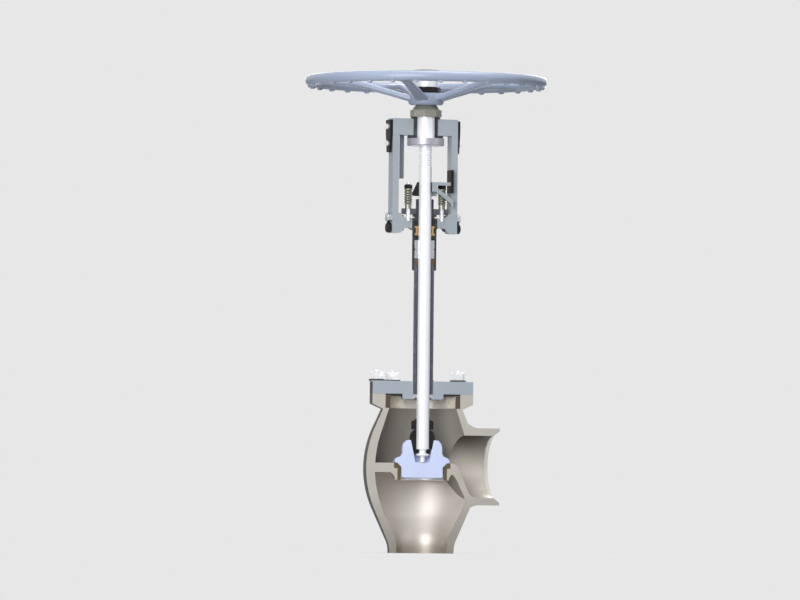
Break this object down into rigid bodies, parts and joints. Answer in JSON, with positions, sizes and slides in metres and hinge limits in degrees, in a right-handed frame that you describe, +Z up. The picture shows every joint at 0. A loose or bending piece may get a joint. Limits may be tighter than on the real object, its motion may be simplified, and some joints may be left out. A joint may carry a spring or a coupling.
{
  "type": "angle globe valve",
  "caption": "Sectioned angle globe valve: half body with bridge, seat and disc, extended bonnet, stuffing box, yoke, rising stem and round handwheel.",
  "frame": {"origin": "centre of the inlet face, on the valve axis, where the valve stands", "axes": "+Z up the stem axis, +X along the outlet, +Y into the half that the section leaves"},
  "size_m": [0.6, 0.6, 1.1963],
  "materials": {
    "casting": "sand-cast surface, machined at joints and cut faces",
    "liner": "dark machined alloy",
    "graphite": "pressed graphite",
    "grey_paint": "satin grey-blue paint",
    "dark_tube": "dark satin steel tube",
    "fastener": "bright plated steel",
    "black_steel": "black oxide steel",
    "trim_steel": "turned steel",
    "polished": "polished",
    "bearing": "dark self-lubricating bush",
    "lantern": "turned brass",
    "wheel": "gloss light blue-grey coating",
    "disc_face": "pale lavender section paint"
  },
  "bodies": {
    "valve": {"body": "casting", "neck_liner": "liner", "seat_ring": "liner", "bonnet_gasket": "graphite", "bonnet_flange": "grey_paint", "bonnet_studs": "fastener", "bonnet_washers": "black_steel", "bonnet_nuts": "fastener", "extension_tube": "dark_tube", "backseat_bush": "trim_steel", "stuffing_box": "grey_paint", "bottom_ring": "liner", "guide_bush": "trim_steel", "packing_lower": "graphite", "lantern_ring": "lantern", "packing_upper": "graphite", "gland_follower": "trim_steel", "gland_flange": "black_steel", "gland_studs": "fastener", "gland_springs": "fastener", "gland_nuts": "black_steel", "yoke_arm_left": "grey_paint", "yoke_arm_right": "grey_paint", "yoke_plate": "grey_paint", "yoke_bolts": "black_steel", "yoke_cleats": "black_steel", "cleat_screws": "fastener", "travel_scale": "trim_steel", "sleeve_bush": "bearing", "thrust_ring_lower": "bearing", "thrust_ring_upper": "bearing"},
    "wheel": {"yoke_sleeve": "polished", "sleeve_nut": "trim_steel", "handwheel": "wheel", "wheel_key": "fastener", "wheel_nut": "black_steel", "protector_tube": "polished", "protector_cap": "black_steel"},
    "stem": {"stem": "polished", "split_ring": "black_steel", "backseat_collar": "black_steel", "stem_guide": "black_steel", "guide_slider": "black_steel", "guide_screws": "fastener"},
    "disc": {"disc": "disc_face", "disc_nut": "black_steel"}
  },
  "joints": [
    {"name": "wheel_turn", "type": "hinge", "parent": "valve", "child": "wheel", "pos_m": [0, 0, 1.1], "axis": [0, 0, 1], "range_deg": [0, 2700]},
    {"name": "stem_lift", "type": "slide", "parent": "valve", "child": "stem", "axis": [0, 0, 1], "range_m": [0, 0.0451]},
    {"name": "disc_swivel", "type": "hinge", "parent": "stem", "child": "disc", "pos_m": [0, 0, 0.24], "axis": [0, 0, 1], "continuous": true}
  ],
  "couplings": [
    {"joint": "stem_lift", "follows": "wheel_turn", "m_per_rad": 0.00095493}
  ]
}
